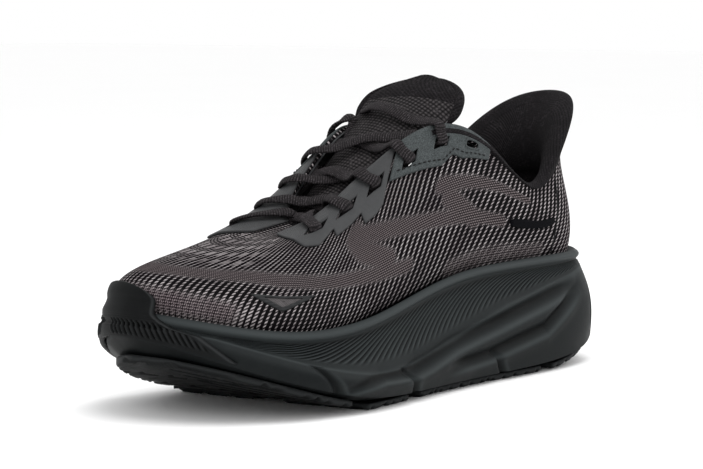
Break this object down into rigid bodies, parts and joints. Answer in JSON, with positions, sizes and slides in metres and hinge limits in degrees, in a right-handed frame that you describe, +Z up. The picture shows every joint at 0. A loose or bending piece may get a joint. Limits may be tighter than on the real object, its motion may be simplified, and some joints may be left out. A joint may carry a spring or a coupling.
{
  "type": "running shoe",
  "caption": "Left running shoe with a thick rockered foam sole, knit upper, padded tongue that folds, flat lace and removable sockliner.",
  "frame": {"origin": "on the ground, under the middle of the shoe's bounding box", "axes": "+X towards the toe, +Y towards the lateral side, which is the wearer's left, +Z up"},
  "size_m": [0.3018, 0.1145, 0.1365],
  "materials": {
    "foam": "matte moulded foam",
    "outsole_rubber": "satin moulded rubber",
    "board": "felted board",
    "sockliner": "brushed fabric on foam",
    "knit": "two-tone engineered knit",
    "lining": "mottled ribbed lining",
    "padding": "open-cell foam",
    "stiffener": "matte sheet",
    "collar_fabric": "smooth stretch fabric",
    "film": "textured film",
    "suede": "speckled suede-like microfibre",
    "patch": "smooth film",
    "tongue_knit": "spacer mesh",
    "lace": "flat woven braid",
    "aglet": "smooth clear-coated tip"
  },
  "bodies": {
    "shoe": {"midsole": "foam", "outsole_toe": "outsole_rubber", "toe_bumper": "outsole_rubber", "outsole_forefoot_lateral": "outsole_rubber", "outsole_forefoot_medial": "outsole_rubber", "outsole_midfoot_lateral": "outsole_rubber", "outsole_midfoot_medial": "outsole_rubber", "outsole_heel": "outsole_rubber", "strobel_board": "board", "knit_upper": "knit", "lining": "lining", "collar_foam": "padding", "heel_counter": "stiffener", "toe_puff": "stiffener", "heel_tab_cover": "collar_fabric", "heel_side_overlay": "patch", "forefoot_trim": "film", "facing_lateral": "film", "facing_medial": "film", "eyestay_lower_lateral": "film", "eyestay_lower_medial": "film", "eyestay_upper_lateral": "suede", "eyestay_upper_medial": "suede", "collar_binding_lateral": "collar_fabric", "collar_binding_medial": "collar_fabric", "tongue_base": "tongue_knit", "tongue_base_lining": "lining", "gusset_lateral": "lining", "gusset_medial": "lining", "lace": "lace", "aglet_upper": "aglet", "aglet_lower": "aglet"},
    "tongue": {"tongue_face": "tongue_knit", "tongue_foam": "padding", "tongue_lining": "lining", "tongue_binding": "collar_fabric"},
    "insole": {"sockliner": "sockliner"}
  },
  "joints": [
    {"name": "tongue_fold", "type": "hinge", "parent": "shoe", "child": "tongue", "pos_m": [-0.0253, 0, 0.1274], "axis": [0, 1, 0], "range_deg": [0, 25]},
    {"name": "sockliner_lift", "type": "hinge", "parent": "shoe", "child": "insole", "pos_m": [0.1357, 0, 0.046], "axis": [0, 1, 0], "range_deg": [0, 4]}
  ]
}
